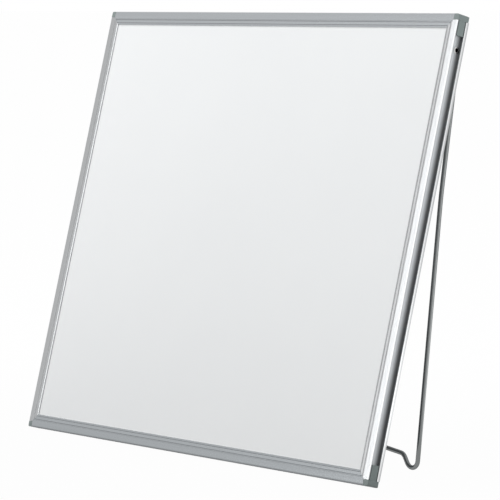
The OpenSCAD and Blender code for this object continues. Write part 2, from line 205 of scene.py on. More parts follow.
class Finish:
    """A material whose nodes are made one call at a time."""

    def __init__(self, name):
        self.material = bpy.data.materials.new(name)
        self.material.use_nodes = True
        self.tree = self.material.node_tree
        self.tree.nodes.clear()
        self.out = self.tree.nodes.new("ShaderNodeOutputMaterial")

    def node(self, kind, settings=None, output=0, **inputs):
        """A node of any kind: settings first, then its sockets."""
        node = self.tree.nodes.new(kind)
        for key, setting in (settings or {}).items():
            if key == "stops":
                ramp = node.color_ramp
                while len(ramp.elements) < len(setting):
                    ramp.elements.new(0.5)
                for element, (place, grey) in zip(ramp.elements, setting):
                    element.position = place
                    element.color = (grey, grey, grey, 1)
            else:
                setattr(node, key, setting)
        for key, part in inputs.items():
            socket = socket_of(node, key)
            if isinstance(part, Value):
                self.tree.links.new(part.output, socket)
            else:
                socket.default_value = part
        return Value(self.tree, node.outputs[output])

    def place(self, stretch=(1, 1, 1), lean=0):
        """Object coordinates in metres, leaned with the board and stretched."""
        spot = self.node("ShaderNodeTexCoord", output=3)
        return self.node(
            "ShaderNodeMapping", {"vector_type": "TEXTURE"},
            Vector=spot, Scale=stretch, Rotation=(-lean, 0, 0),
        )

    def mark(self, name):
        """A number that the mesh carries on the corners of its faces."""
        return self.node("ShaderNodeAttribute", {"attribute_name": name}, output=2)

    def noise(self, where, size, detail=2.0, rough=0.5):
        """Soft random patches of a given size in metres, around 0.5."""
        return self.node(
            "ShaderNodeTexNoise", Vector=where, Scale=1 / size, Detail=detail, Roughness=rough
        )

    def blend(self, factor, first, second):
        """A colour between two colours."""
        pair = [c if isinstance(c, Value) else (*c, 1) for c in (first, second)]
        return self.node(
            "ShaderNodeMix", {"data_type": "RGBA"}, output=2, _0=factor, _6=pair[0], _7=pair[1]
        )

    def steps(self, value, *stops):
        """A ramp of greys: pairs of place and grey."""
        return self.node("ShaderNodeValToRGB", {"stops": stops}, Fac=value)

    def bump(self, height, depth, strength):
        """A relief whose height is depth metres where the value is 1."""
        return self.node("ShaderNodeBump", Height=height, Distance=depth, Strength=strength)

    def surface(self, **sockets):
        """The shader itself, joined to the output."""
        body = self.node("ShaderNodeBsdfPrincipled", **sockets)
        self.tree.links.new(body.output, self.out.inputs["Surface"])
        return self.material


def shaded(colour, share):
    """A colour made lighter or darker."""
    return [part * share for part in colour]


print("shader helpers ready")

# %% [markdown]
# ## Studio
#
# The object stands on a white table in a white studio. The background has
# to be plain white without pouring light on the object, so only what the
# camera or a mirror sees of the world is pure white. The table does nearly
# the same and keeps a soft shadow. Its paper is painted greyer round the
# object, a painted shadow that only bouncing light meets, so that little
# light bounces up under the frame. Four lamps do the rest: one in front on
# the left, one above, one on the right, and one that lies low on the right,
# where the wire and the back lip of the frame mirror it.

# %% World, table and lamps
WHITE, SKY_TINT, SKY_LEVEL, TABLE_SEEN = (1, 1, 1, 1), (0.98, 0.99, 1.0, 1), 0.68, 0.98
TABLE_REACH, PAPER_FROM = 60.0, (0, 0.12, 0)
# Painted shadow: the paper is grey near the object and whiter farther off
PAPER_NEAR, PAPER_FAR = (0.15, 0.2), (0.6, 0.85)  # distance in metres, then grey


def white_when_seen(tree, shade, share):
    """Mixes a shader with plain white for camera, mirror and glass rays."""
    path = tree.nodes.new("ShaderNodeLightPath")
    seen = Value(tree, path.outputs["Is Camera Ray"]) + Value(tree, path.outputs["Is Glossy Ray"])
    seen = seen + Value(tree, path.outputs["Is Transmission Ray"])
    mixed = tree.nodes.new("ShaderNodeMixShader")
    glow = tree.nodes.new("ShaderNodeBackground" if share == 1 else "ShaderNodeEmission")
    glow.inputs["Color"].default_value = WHITE
    glow.inputs["Strength"].default_value = 1.0
    tree.links.new((seen * share).output, mixed.inputs[0])
    tree.links.new(shade, mixed.inputs[1])
    tree.links.new(glow.outputs[0], mixed.inputs[2])
    return mixed.outputs[0]


world = scene.world or bpy.data.worlds.new("studio")
scene.world = world
world.use_nodes = True
world.node_tree.nodes.clear()
sky = world.node_tree.nodes.new("ShaderNodeBackground")
sky.inputs["Color"].default_value = SKY_TINT
sky.inputs["Strength"].default_value = SKY_LEVEL
world_out = world.node_tree.nodes.new("ShaderNodeOutputWorld")
seen_sky = white_when_seen(world.node_tree, sky.outputs[0], 1)
world.node_tree.links.new(seen_sky, world_out.inputs[0])

table_white = Finish("table_white")
on_table = table_white.node("ShaderNodeTexCoord", output=3)
shifted = table_white.node("ShaderNodeMapping", Vector=on_table, Location=PAPER_FROM)
away = table_white.node("ShaderNodeVectorMath", {"operation": "LENGTH"}, output=1, Vector=shifted)
paper_painted_shadow = table_white.steps(away, PAPER_NEAR, PAPER_FAR)
paper = table_white.node("ShaderNodeBsdfDiffuse", Color=paper_painted_shadow)
seen_table = white_when_seen(table_white.tree, paper.output, TABLE_SEEN)
table_white.tree.links.new(seen_table, table_white.out.inputs["Surface"])
table_mesh = bpy.data.meshes.new("table")
corners = [(x * TABLE_REACH, y * TABLE_REACH, 0) for x, y in ((-1, -1), (1, -1), (1, 1), (-1, 1))]
table_mesh.from_pydata(corners, [], [(0, 1, 2, 3)])
table = bpy.data.objects.new("table", table_mesh)
table_mesh.materials.append(table_white.material)
scene.collection.objects.link(table)
table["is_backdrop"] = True


def softbox(name, place, size, radiance, looks_at=(0, 0, 0.13)):
    """A rectangular lamp that looks at the board, as bright as it says."""
    lamp = bpy.data.lights.new(name, "AREA")
    lamp.shape, lamp.size, lamp.size_y = "RECTANGLE", *size
    lamp.energy = radiance * pi * size[0] * size[1]
    holder = bpy.data.objects.new(name, lamp)
    holder.location = place
    holder.rotation_euler = (Vector(looks_at) - Vector(place)).to_track_quat("-Z", "Y").to_euler()
    holder.visible_camera = False
    scene.collection.objects.link(holder)


softbox("front_left_softbox", (-1.28, -2.05, 0.85), (0.7, 1.3), 3.3)
softbox("above_softbox", (-0.5, -0.42, 1.35), (0.8, 0.5), 7.0)
softbox("right_softbox", (0.9, 0.08, 0.2), (0.5, 0.38), 1.5)
softbox("low_right_softbox", (0.43, 0.22, 0.003), (0.64, 0.3), 1.0, looks_at=(0.43, 0.22, 1))
print("studio: white world, table and 4 softboxes")

# %% [markdown]
# ## Anodised aluminium
#
# The rails are pressed through a die, so fine lines run along each of them,
# and the anodised skin has a satin sheen. The lines follow the length: one
# finish runs across the board and one runs up its slope, and the bottom
# rail has a darker copy of the first as painted shade. The pattern is
# noise that is stretched a hundred times along the rail. Three marks that
# the mesh carries tell the finish where it lies: in the side channel, which
# is painted darker towards its back wall as shade, in a groove or along the
# bottom rail's lower edge, which are painted dark as shade, or on the
# folded lip, which is painted lighter as a highlight.

# %% Finish of the rails
DRAWN_LINE, DRAWN_BAND, STRETCH = 0.00035, 0.003, 100
# Painted highlight: the folded lip gets a lighter grey
# Painted shade darkens the side channel from a light bare grey at its mouth to nearly black at its
# back wall, by depth as the fade below says
CHANNEL_PAINTED_SHADE, CHANNEL_BARE, LIP_PAINTED_HIGHLIGHT = (0.04, 0.044, 0.046), (0.66, 0.685, 0.7), (0.84, 0.845, 0.85)
CHANNEL_SHADE_FADE = ((0.45, 1), (0.57, 0.8), (0.72, 0.53), (0.87, 0.3), (1, 0.08))  # depth, then share


def anodised(name, along, grey, rough, drawn):
    """Satin aluminium with drawn lines along x ("across") or the slope."""
    finish = Finish(name)
    stretch = (STRETCH, 1, 1) if along == "across" else (1, 1, STRETCH)
    where = finish.place(stretch, radians(LEAN))
    lines = finish.noise(where, DRAWN_LINE, detail=3, rough=0.7)
    broad = finish.noise(where, DRAWN_BAND, detail=2)
    tucked, scribed, hemmed = (finish.mark(mark) for mark in ("tucked", "scribed", "hemmed"))
    tone = (lines - 0.5) * 0.3 + (broad - 0.5) * 0.3 + 0.5
    face = finish.blend(tone, shaded(grey, 0.85), shaded(grey, 1.15))
    # Painted shade: the grooves and the bottom rail's lower edge are painted dark
    face_shaded = finish.blend(finish.steps(scribed, (0.05, 0), (1, 1)), face, shaded(grey, 0.2))
    # Painted highlight: the folded lip is painted lighter
    outer = finish.blend(hemmed, face_shaded, LIP_PAINTED_HIGHLIGHT)
    # Painted shade: the channel is painted darker the deeper a point lies
    inner = finish.blend(finish.steps(tucked, *CHANNEL_SHADE_FADE), CHANNEL_PAINTED_SHADE, CHANNEL_BARE)
    return finish.surface(
        Base_Color=finish.blend(finish.steps(tucked, (0.02, 0), (0.08, 1)), outer, inner),
        Metallic=finish.steps(tucked, (0.02, 1), (0.08, 0.2)),
        Roughness=(broad - 0.5) * 0.06 + (lines - 0.5) * 0.05 + tucked * 0.25 + rough,
        Normal=finish.bump(lines, drawn, 1.0),
    )


aluminium_top = anodised("anodised_top", "across", (0.40, 0.42, 0.435), 0.2, 0.000007)
# Painted shade: the bottom rail is a darker copy of the top rail's finish
aluminium_bottom_shaded = anodised("anodised_bottom", "across", (0.345, 0.365, 0.38), 0.2, 0.000007)
aluminium_upright = anodised("anodised_upright", "upright", (0.395, 0.403, 0.41), 0.29, 0.00003)
print("anodised finishes:", aluminium_top.name, aluminium_bottom_shaded.name, aluminium_upright.name)

# %% [markdown]
# ## Enamelled sheet
#
# The writing sheet is steel with baked white enamel. It is smooth and
# glossy, but not a mirror: enamel has a faint ripple like orange peel, and
# wiped ink leaves it a little dull in patches.

# %% Finish of the writing sheet
RIPPLE, WIPED_PATCH = 0.006, 0.09

enamel = Finish("enamel_white")
spot = enamel.place()
ripple = enamel.noise(spot, RIPPLE, detail=2)
wiped = enamel.noise(spot, WIPED_PATCH, detail=3, rough=0.6)
enamel_white = enamel.surface(
    Base_Color=enamel.blend(wiped, (0.82, 0.83, 0.835), (0.85, 0.86, 0.86)),
    Roughness=(wiped - 0.5) * 0.06 + 0.3,
    IOR=1.5,
    Coat_Weight=0.25,
    Coat_Roughness=0.12,
    Normal=enamel.bump(ripple, 0.00002, 0.25),
)
print("enamel ready")

# %% [markdown]
# ## Plastic, chrome, zinc and board
#
# The corner caps are moulded with a fine grain. The wire is chromed: almost
# a mirror, with faint clouds and specks in the plating. The eyelets are
# nickel plated and the screws are zinc plated. The back is galvanised
# sheet, whose zinc grows in flat crystals that a Voronoi pattern imitates.
# Hardly any light reaches the inside of an eyelet, but a polished metal
# would mirror the white studio there. So a mask makes the wire's sawn end
# and the eyelet's inside dark by their colour.

# %% The other finishes
MOULD_GRAIN, MOULD_PATCH = 0.0004, 0.006
PLATE_CLOUD, PLATE_SPECK, UNLIT = 0.004, 0.0006, (0.012, 0.012, 0.012)
MASK_MARGIN, CRYSTALS_A_METRE, HAZE, FIBRE = 0.08, 110.0, 0.02, 0.0015


def moulded(name, colour, rough):
    """Moulded plastic with a spark-eroded grain."""
    finish = Finish(name)
    spot = finish.place()
    grain = finish.noise(spot, MOULD_GRAIN, detail=2, rough=0.6)
    patch = finish.noise(spot, MOULD_PATCH, detail=2)
    return finish.surface(
        Base_Color=finish.blend(patch, shaded(colour, 0.93), shaded(colour, 1.07)),
        Roughness=(grain - 0.5) * 0.15 + rough,
        Normal=finish.bump(grain, 0.00003, 0.3),
    )


def plated(name, colour, rough, dark=None, edge=1.0):
    """A bright plating, painted nearly black as shade where a mask says so."""
    finish = Finish(name)
    spot = finish.place()
    cloud = finish.noise(spot, PLATE_CLOUD, detail=2)
    specks = finish.noise(spot, PLATE_SPECK, detail=1)
    plate = finish.blend(cloud, shaded(colour, 0.92), colour)
    if dark:
        plate = finish.blend(dark(finish), plate, UNLIT)
    return finish.surface(
        Base_Color=plate,
        Metallic=1.0,
        Specular_Tint=(edge, edge, edge, 1),
        Roughness=(cloud - 0.5) * 0.08 + rough,
        Normal=finish.bump(specks, 0.00001, 0.15),
    )


def split(finish, where):
    """The three coordinates of a place."""
    first = finish.node("ShaderNodeSeparateXYZ", Vector=where)
    return [Value(finish.tree, socket) for socket in first.output.node.outputs]


def cut_end(finish):
    """The sawn faces at both ends of the wire, deep in the eyelets."""
    x = split(finish, finish.place())[0]
    away = finish.node("ShaderNodeMath", {"operation": "ABSOLUTE"}, _0=x)
    return away.over((PIN_OUTER_X - MASK_MARGIN) * MM)


def in_the_eye(finish):
    """Inside the hole in the eyelet's face: nearer the axis than its rim."""
    y, z = split(finish, finish.place())[1:]
    y, z = y - pivot.y, z - pivot.z
    return 1 - (y * y + z * z).over(((EYE_R + MASK_MARGIN) * MM) ** 2)


cap_grey = moulded("cap_grey", (0.19, 0.228, 0.222), 0.46)
block_black = moulded("block_black", (0.022, 0.022, 0.024), 0.4)
chrome = plated("chrome", (0.21, 0.22, 0.22), 0.11, cut_end, edge=0.3)
nickel = plated("nickel", (0.66, 0.66, 0.65), 0.24, in_the_eye)
zinc = plated("zinc", (0.55, 0.56, 0.58), 0.3)

galvanised = Finish("galvanised")
spot = galvanised.place()
crystal = galvanised.node(
    "ShaderNodeTexVoronoi", {"feature": "F1"}, output=1, Vector=spot, Scale=CRYSTALS_A_METRE
)
tint = galvanised.node("ShaderNodeSeparateColor", Color=crystal)
haze = galvanised.noise(spot, HAZE, detail=3)
spangle = tint * 0.6 + haze * 0.4
galvanised_sheet = galvanised.surface(
    Base_Color=galvanised.blend(spangle, (0.25, 0.262, 0.27), (0.37, 0.385, 0.395)),
    Metallic=0.75,
    Roughness=tint * 0.16 + 0.4,
)

hardboard = Finish("hardboard")
spot = hardboard.place((1, 0.25, 1))
fibre = hardboard.noise(spot, FIBRE, detail=4, rough=0.7)
hardboard_brown = hardboard.surface(
    Base_Color=hardboard.blend(fibre, (0.11, 0.065, 0.035), (0.24, 0.15, 0.085)),
    Roughness=0.85,
    Normal=hardboard.bump(fibre, 0.0001, 0.4),
)
print("finishes:", len(bpy.data.materials))

# %% [markdown]
# ## Finished meshes
#
# Every piece ends as a plain mesh whose place is in its points, at the
# origin. Four small helpers do that: one runs modifiers and keeps what they
# make, one shades a mesh smooth except at its real edges, one turns its
# faces outwards, and one hands the piece to its body. A large flat face
# stays flat because its own direction counts most at its corners.

# %% Helpers for pieces
def finished(name, mesh, *modifiers):
    """Runs modifiers, given as a type and its settings, and keeps the mesh."""
    carrier = bpy.data.objects.new("carrier", mesh)
    scene.collection.objects.link(carrier)
    for kind, settings in modifiers:
        modifier = carrier.modifiers.new(name, kind)
        for key, setting in settings.items():
            setattr(modifier, key, setting)
    seen = carrier.evaluated_get(bpy.context.evaluated_depsgraph_get())
    result = bpy.data.meshes.new_from_object(seen)
    carrier.modifiers.clear()
    bpy.data.objects.remove(carrier)
    return result


def crisp(mesh, angle):
    """Smooth small roundings, flat large faces, sharp edges past the angle."""
    mesh.shade_smooth()
    mesh.set_sharp_from_angle(angle=radians(angle))
    return finished("normals", mesh, ("WEIGHTED_NORMAL", {"keep_sharp": True, "weight": 100}))


def outwards(mesh):
    """Merges doubled points and turns every face outwards."""
    work = bmesh.new()
    work.from_mesh(mesh)
    bmesh.ops.remove_doubles(work, verts=work.verts, dist=1e-6)
    bmesh.ops.recalc_face_normals(work, faces=work.faces)
    work.to_mesh(mesh)
    work.free()


def hand_in(name, mesh, body, slot, *nodes):
    """Names a finished mesh and lets it ride in place of its CAD nodes."""
    piece = bpy.data.objects.new(name, mesh)
    mesh.name = name
    scene.collection.objects.link(piece)
    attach(piece, body)
    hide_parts(*nodes)
    print("%-24s %6d faces on %s" % (name, len(mesh.polygons), body))


print("piece helpers ready")

# %% [markdown]
# ## Building with Geometry Nodes
#
# A node group is a recipe with named sizes. We build each recipe in code,
# run it once on a carrier object and keep only the mesh that comes out.

# %% Recipes and how to run them
class Recipe:
    """A Geometry Nodes group under construction."""

    def __init__(self, name, **inputs):
        self.tree = bpy.data.node_groups.new(name, "GeometryNodeTree")
        face = self.tree.interface
        face.new_socket("Geometry", in_out="INPUT", socket_type="NodeSocketGeometry")
        self.ids = {}
        for key, kind in inputs.items():
            socket = face.new_socket(
                key.replace("_", " "), in_out="INPUT", socket_type="NodeSocket" + kind
            )
            self.ids[key] = socket.identifier
        face.new_socket("Geometry", in_out="OUTPUT", socket_type="NodeSocketGeometry")
        self.given = self.tree.nodes.new("NodeGroupInput")
        self.result = self.tree.nodes.new("NodeGroupOutput")

    def __getitem__(self, name):
        return self.given.outputs[name.replace("_", " ")]

    def node(self, kind, settings=None, output=0, **inputs):
        """A node: settings first, then its sockets by name or number."""
        node = self.tree.nodes.new(kind)
        for key, setting in (settings or {}).items():
            setattr(node, key, setting)
        for key, part in inputs.items():
            socket = socket_of(node, key)
            if isinstance(part, bpy.types.NodeSocket):
                self.tree.links.new(part, socket)
            else:
                socket.default_value = part
        return node.outputs[output]

    def sum(self, operation, *parts):
        """One Math node."""
        sockets = {"_%d" % i: part for i, part in enumerate(parts)}
        return self.node("ShaderNodeMath", {"operation": operation}, **sockets)

    def product(self, first, *others):
        """All parts multiplied."""
        for other in others:
            first = self.sum("MULTIPLY", first, other)
        return first

    def finish(self, geometry, material):
        """Every recipe ends as real mesh with its material."""
        real = self.node("GeometryNodeRealizeInstances", Geometry=geometry)
        dressed = self.node("GeometryNodeSetMaterial", Geometry=real, Material=material)
        self.tree.links.new(dressed, self.result.inputs[0])

    def run(self, data, **values):
        """Runs the recipe on a mesh or curve and returns the new mesh."""
        carrier = bpy.data.objects.new("carrier", data)
        scene.collection.objects.link(carrier)
        modifier = carrier.modifiers.new("recipe", "NODES")
        modifier.node_group = self.tree
        for key, value in values.items():
            modifier[self.ids[key]] = value
        seen = carrier.evaluated_get(bpy.context.evaluated_depsgraph_get())
        mesh = bpy.data.meshes.new_from_object(seen)
        carrier.modifiers.remove(modifier)
        bpy.data.objects.remove(carrier)
        return mesh


def outline_curve(name, points, closed=True):
    """A polyline as a curve, through points in millimetres."""
    curve = bpy.data.curves.new(name, "CURVE")
    curve.dimensions = "3D"
    line = curve.splines.new("POLY")
    line.points.add(len(points) - 1)
    for slot, point in zip(line.points, points):
        slot.co = (*point, 0, 1) if len(point) == 2 else (*point, 1)
    line.use_cyclic_u = closed
    return curve


print("recipe helpers ready")

# %% [markdown]
# ## The rail's section
#
# All four rails are cut from one extrusion. Seen end-on it has a lip and a
# rib that hold the sheets, a web, and a side channel whose back wall is
# folded round as a lip. The front is nearly flat, with three fine grooves.
# We write the outline as pairs: how far in from the outer edge, and how far
# behind the front.

# %% Outline of the extrusion
def arc(centre_in, centre_back, radius, start, end, count):
    """Points of an arc in [in, back]."""
    turn = [radians(start + (end - start) * i / count) for i in range(count + 1)]
    return [(centre_in + radius * cos(a), centre_back + radius * sin(a)) for a in turn]


def bevel_back(inwards):
    """Depth of the outer bevel at a distance in from the edge."""
    if inwards < CHAMFER_W:
        return BEVEL_DROP + CHAMFER_DROP * (1 - inwards / CHAMFER_W)
    return BEVEL_DROP * max(0, BAND_OUT - inwards) / (BAND_OUT - CHAMFER_W)


def groove(centre):
    """A V-shaped groove in the front face."""
    edges = (centre - GROOVE_W / 2, centre + GROOVE_W / 2)
    return [(edges[0], bevel_back(edges[0])), (centre, GROOVE_D), (edges[1], bevel_back(edges[1]))]


rib_in = FACE_W - RIB_SET
rib_back = RIB_FRONT + WALL
channel_back = FRAME_DEPTH - WALL
section = (
    [*BEVEL_POINTS[:2], (CAP_HEAD, bevel_back(CAP_HEAD))]
    + [point for at in GROOVES for point in groove(at)]
    + [(FACE_W, SLOPE_DROP), (FACE_W, LIP), (CAP_HEAD, LIP), (WEB_IN, LIP)]
    + [(WEB_IN, RIB_FRONT), (CAP_HEAD, RIB_FRONT), (rib_in, RIB_FRONT)]
    + [(rib_in, rib_back), (CAP_HEAD, rib_back), (WEB_IN, rib_back), (WEB_IN, FRAME_DEPTH)]
    + arc(BACK_R, FRAME_DEPTH - BACK_R, BACK_R, 90, 180, 4)
    + [(0, FRAME_DEPTH - RETURN_LIP), (WALL, FRAME_DEPTH - RETURN_LIP), (WALL, channel_back)]
    + arc(CHANNEL_DEPTH - COVE_R, channel_back - COVE_R, COVE_R, 90, 0, 12)
    + arc(CHANNEL_DEPTH - ROOT_R, CHANNEL_FRONT + ROOT_R, ROOT_R, 0, -90, 6)
    + [(0, CHANNEL_FRONT)]
)
print("outline of the extrusion:", len(section), "points")

# %% [markdown]
# ## Rails cut to length
#
# A rail could be modelled and trimmed four times. A recipe is better: fill
# the outline, push it out by one, then place each point by one rule. Its
# end lies at half the length, less its distance in from the edge, which
# gives the mitre. Where the cap's head sits, the end is cut off square.

# %% Recipe of a mitred rail
rail = Recipe(
    "mitred_rail", Length="Float", Cap_head="Float", Seam="Float",
    Edge_radius="Float", Dulled="Float", Finish="Material",
)
rounded = rail.node(
    "GeometryNodeFilletCurve", {"mode": "POLY"},
    Curve=rail["Geometry"], Radius=rail["Edge_radius"], Limit_Radius=True, Count=2,
)
flat = rail.node("GeometryNodeFillCurve", {"mode": "TRIANGLES"}, Curve=rounded)
pushed = rail.node(
    "GeometryNodeExtrudeMesh", {"mode": "FACES"}, Mesh=flat, Offset=(0, 0, 1), Individual=False
)
ends = rail.tree.nodes.new("GeometryNodeJoinGeometry")
for part in (flat, pushed):
    rail.tree.links.new(part, ends.inputs[0])
closed = rail.node("GeometryNodeMergeByDistance", Geometry=ends.outputs[0], Distance=1e-5)
apart = rail.tree.nodes.new("ShaderNodeSeparateXYZ")
rail.tree.links.new(rail.node("GeometryNodeInputPosition"), apart.inputs[0])
inwards, back, end = apart.outputs
reach = rail.sum("SUBTRACT", rail.product(rail["Length"], 0.5), rail["Seam"])
reach = rail.sum("SUBTRACT", reach, rail.sum("MAXIMUM", inwards, rail["Cap_head"]))
along = rail.product(reach, rail.sum("MULTIPLY_ADD", end, 2.0, -1.0))
print("rail recipe:", len(rail.tree.nodes), "nodes for its shape")

# %% [markdown]
# ## Marks for the finish
#
# The finish of a rail has to know where it lies. The rail could be split
# into several materials, but their borders would show. So the recipe writes
# three numbers onto the mesh: "tucked" says how deep a point lies in the
# side channel, where the finish paints shade towards the back wall; a second
# number marks the grooves and the bottom rail's lower edge, which the finish
# paints dark as shade; and "hemmed" marks the folded lip, which it paints
# lighter as a highlight. They belong to the corners of the faces,
# because a boolean that cuts the mesh later keeps those.

# %% Three marks on the mesh
JUST_IN, SKIN, CLOSE, ROUNDED = 0.06, 0.05, 0.1, 0.12
# How dark each groove is painted, as painted shade
GROOVE_PAINTED_SHADE = (0.35, 1.0, 1.0)
lip_front = FRAME_DEPTH - RETURN_LIP


def between(value, low, high):
    """1 where the value lies between two limits."""
    above = rail.sum("GREATER_THAN", value, low)
    return rail.product(above, rail.sum("LESS_THAN", value, high))


def spread(value, start, end, first, last):
    """Runs evenly from first to last while the value goes from start to end."""
    return rail.node(
        "ShaderNodeMapRange", Value=value, From_Min=start, From_Max=end, To_Min=first, To_Max=last
    )


def marked(geometry, name, value):
    """Writes a value onto the faces' corners, for the finish to read."""
    return rail.node(
        "GeometryNodeStoreNamedAttribute", {"data_type": "FLOAT", "domain": "CORNER"},
        Geometry=geometry, Name=name, Value=value,
    )


# Depth in the side channel, which the finish turns into painted shade
in_channel = rail.product(
    spread(back, CHANNEL_FRONT, channel_back, 0.1, 1.0),
    between(inwards, JUST_IN, CHANNEL_DEPTH + CLOSE),
    between(back, CHANNEL_FRONT - SKIN, channel_back + SKIN),
)
# The grooves are painted dark as shade
at_groove = 0.0
for centre, groove_shade in zip(GROOVES, GROOVE_PAINTED_SHADE):
    here = rail.product(between(inwards, centre - CLOSE, centre + CLOSE), groove_shade)
    at_groove = rail.sum("MAXIMUM", at_groove, here)
at_groove = rail.product(at_groove, rail.sum("LESS_THAN", back, LIP - CLOSE))
# Painted shade: the bottom rail's lowest rounded edge is painted darker, as if it mirrored the
# shade below it
painted_rim = rail.product(
    rail.sum("LESS_THAN", inwards, ROUNDED),
    rail.sum("LESS_THAN", back, CHANNEL_FRONT - CLOSE),
    rail["Dulled"],
)
# The folded lip, which the finish paints lighter as a highlight
on_lip = rail.product(
    rail.sum("LESS_THAN", inwards, SKIN),
    spread(back, lip_front, FRAME_DEPTH - BACK_R, 1.0, 0.1),
    rail.sum("GREATER_THAN", back, lip_front - CLOSE),
)
geometry = marked(closed, "tucked", in_channel)
geometry = marked(geometry, "scribed", rail.sum("MAXIMUM", at_groove, painted_rim))
geometry = marked(geometry, "hemmed", on_lip)
spot = rail.node("ShaderNodeCombineXYZ", X=along, Y=back, Z=inwards)
rail.finish(
    rail.node("GeometryNodeSetPosition", Geometry=geometry, Position=spot), rail["Finish"]
)
print("rail recipe:", len(rail.tree.nodes), "nodes in all")

# %% [markdown]
# ## Four rails and two bores
#
# The recipe gives a bottom rail. The others are turned into their places.
# Each stile's web has a hole for its pivot eyelet. A round cutter and a
# boolean make it as a drill would, so the eyelet's eye is a real hole.

# %% Four rails in place
# The last number says how dark the bottom rail's lower edge is painted, as painted shade
BORE_HOLE_R, EDGE_R, BOTTOM_SHADE_SHARE = 1.58, 0.09, 0.7
ON_TOP = Matrix.Translation((0, 0, BOARD_H)) @ Matrix.Rotation(pi, 4, "Y")
ON_RIGHT = Matrix.Translation((BOARD_W / 2, 0, BOARD_H / 2)) @ Matrix.Rotation(-pi / 2, 4, "Y")
ON_LEFT = Matrix.Translation((-BOARD_W / 2, 0, BOARD_H / 2)) @ Matrix.Rotation(pi / 2, 4, "Y")
sides = {
    "bottom_rail": (BOARD_W, Matrix(), aluminium_bottom_shaded),
    "top_rail": (BOARD_W, ON_TOP, aluminium_top),
    "right_stile": (BOARD_H, ON_RIGHT, aluminium_upright),
    "left_stile": (BOARD_H, ON_LEFT, aluminium_upright),
}


def drilled(mesh, side):
    """Bores the hole for the pivot eyelet through a stile's web."""
    web_x = side * (BOARD_W / 2 - CHANNEL_DEPTH - WALL / 2)
    at_web = Matrix.Translation((web_x, PIVOT_DEPTH, PIVOT_UP)) @ Matrix.Rotation(pi / 2, 4, "Y")
    work = bmesh.new()
    bmesh.ops.create_cone(
        work, cap_ends=True, segments=48,
        radius1=BORE_HOLE_R, radius2=BORE_HOLE_R, depth=2 * WALL, matrix=at_web,
    )
    drill_mesh = bpy.data.meshes.new("drill")
    work.to_mesh(drill_mesh)
    work.free()
    drill = bpy.data.objects.new("drill", drill_mesh)
    scene.collection.objects.link(drill)
    cut = {"object": drill, "operation": "DIFFERENCE", "solver": "EXACT"}
    bored = finished("bore", mesh, ("BOOLEAN", cut))
    bpy.data.objects.remove(drill)
    return bored


for name, (length, place, material) in sides.items():
    mesh = rail.run(
        outline_curve("section", section),
        Length=length, Cap_head=CAP_HEAD, Seam=SEAM, Edge_radius=EDGE_R,
        Dulled=BOTTOM_SHADE_SHARE if name == "bottom_rail" else 0.0, Finish=material,
    )
    mesh.transform(place)
    outwards(mesh)
    if "stile" in name:
        mesh = drilled(mesh, 1 if "right" in name else -1)
    mesh.transform(LEANING)
    hand_in("extruded_" + name, crisp(mesh, 40), "board", "anodised_frame", name)

# %% [markdown]
# ## Softened copies
#
# A moulded part has no knife edges: the mould's corners are rounded by a
# few tenths of a millimetre, and that thin round edge catches the light.
# The CAD shape of the caps and hinge blocks is right, so each is copied,
# its triangles are joined into flat faces again, and a bevel rounds it.

# %% Corner caps and hinge blocks
CAP_EDGE_R, BLOCK_EDGE_R = 0.18 * MM, 0.12 * MM


def softened(name, node, radius, material, slot):
    """A copy of a CAD part with rounded edges."""
    mesh = frame["nodes"][node].data.copy()
    work = bmesh.new()
    work.from_mesh(mesh)
    bmesh.ops.remove_doubles(work, verts=work.verts, dist=2e-6)
    bmesh.ops.dissolve_limit(work, angle_limit=radians(1), verts=work.verts, edges=work.edges)
    work.to_mesh(mesh)
    work.free()
    mesh.materials.clear()
    mesh.materials.append(material)
    bevel = {
        "width": radius, "segments": 3, "limit_method": "ANGLE",
        "angle_limit": radians(30), "use_clamp_overlap": True,
    }
    soft = finished("soft_edges", mesh, ("BEVEL", bevel))
    hand_in(name, crisp(soft, 40), "board", slot, node)


for corner in ("top_left", "top_right", "bottom_left", "bottom_right"):
    softened(
        "moulded_cap_" + corner, "corner_cap_" + corner, CAP_EDGE_R, cap_grey, "cap_plastic"
    )
for side in ("left", "right"):
    softened(
        "moulded_block_" + side, "hinge_block_" + side, BLOCK_EDGE_R, block_black, "block_plastic"
    )

# %% [markdown]
# ## Pivot eyelets
#
# An eyelet is turned: every cut through its axis is the same. So we draw
# half of that cut, with a rolled rim, and spin it round the axis.

# %% Eyelets by spinning an outline
BARREL_R, BORE_R, FLANGE_R, FLANGE_T, BARREL_LENGTH = 1.54, 1.29, 1.85, 0.5, 1.4
RIM_R, EYE_ROLL_R, SHOULDER, COLLAR = 0.16, 0.14, 0.15, 0.08


def turned(name, outline, steps, material):
    """Spins a closed outline of [radius, along] pairs round the x axis."""
    work = bmesh.new()
    ring = [work.verts.new((along, radius, 0)) for radius, along in outline]
    edges = [work.edges.new((ring[i - 1], ring[i])) for i in range(len(ring))]
    bmesh.ops.spin(
        work, geom=ring + edges, cent=(0, 0, 0), axis=(1, 0, 0), angle=2 * pi, steps=steps
    )
    bmesh.ops.remove_doubles(work, verts=work.verts, dist=1e-5)
    on_axis = [edge for edge in work.edges if edge.is_wire]
    bmesh.ops.delete(work, geom=on_axis, context="EDGES")
    mesh = bpy.data.meshes.new(name)
    work.to_mesh(mesh)
    work.free()
    mesh.materials.append(material)
    return mesh


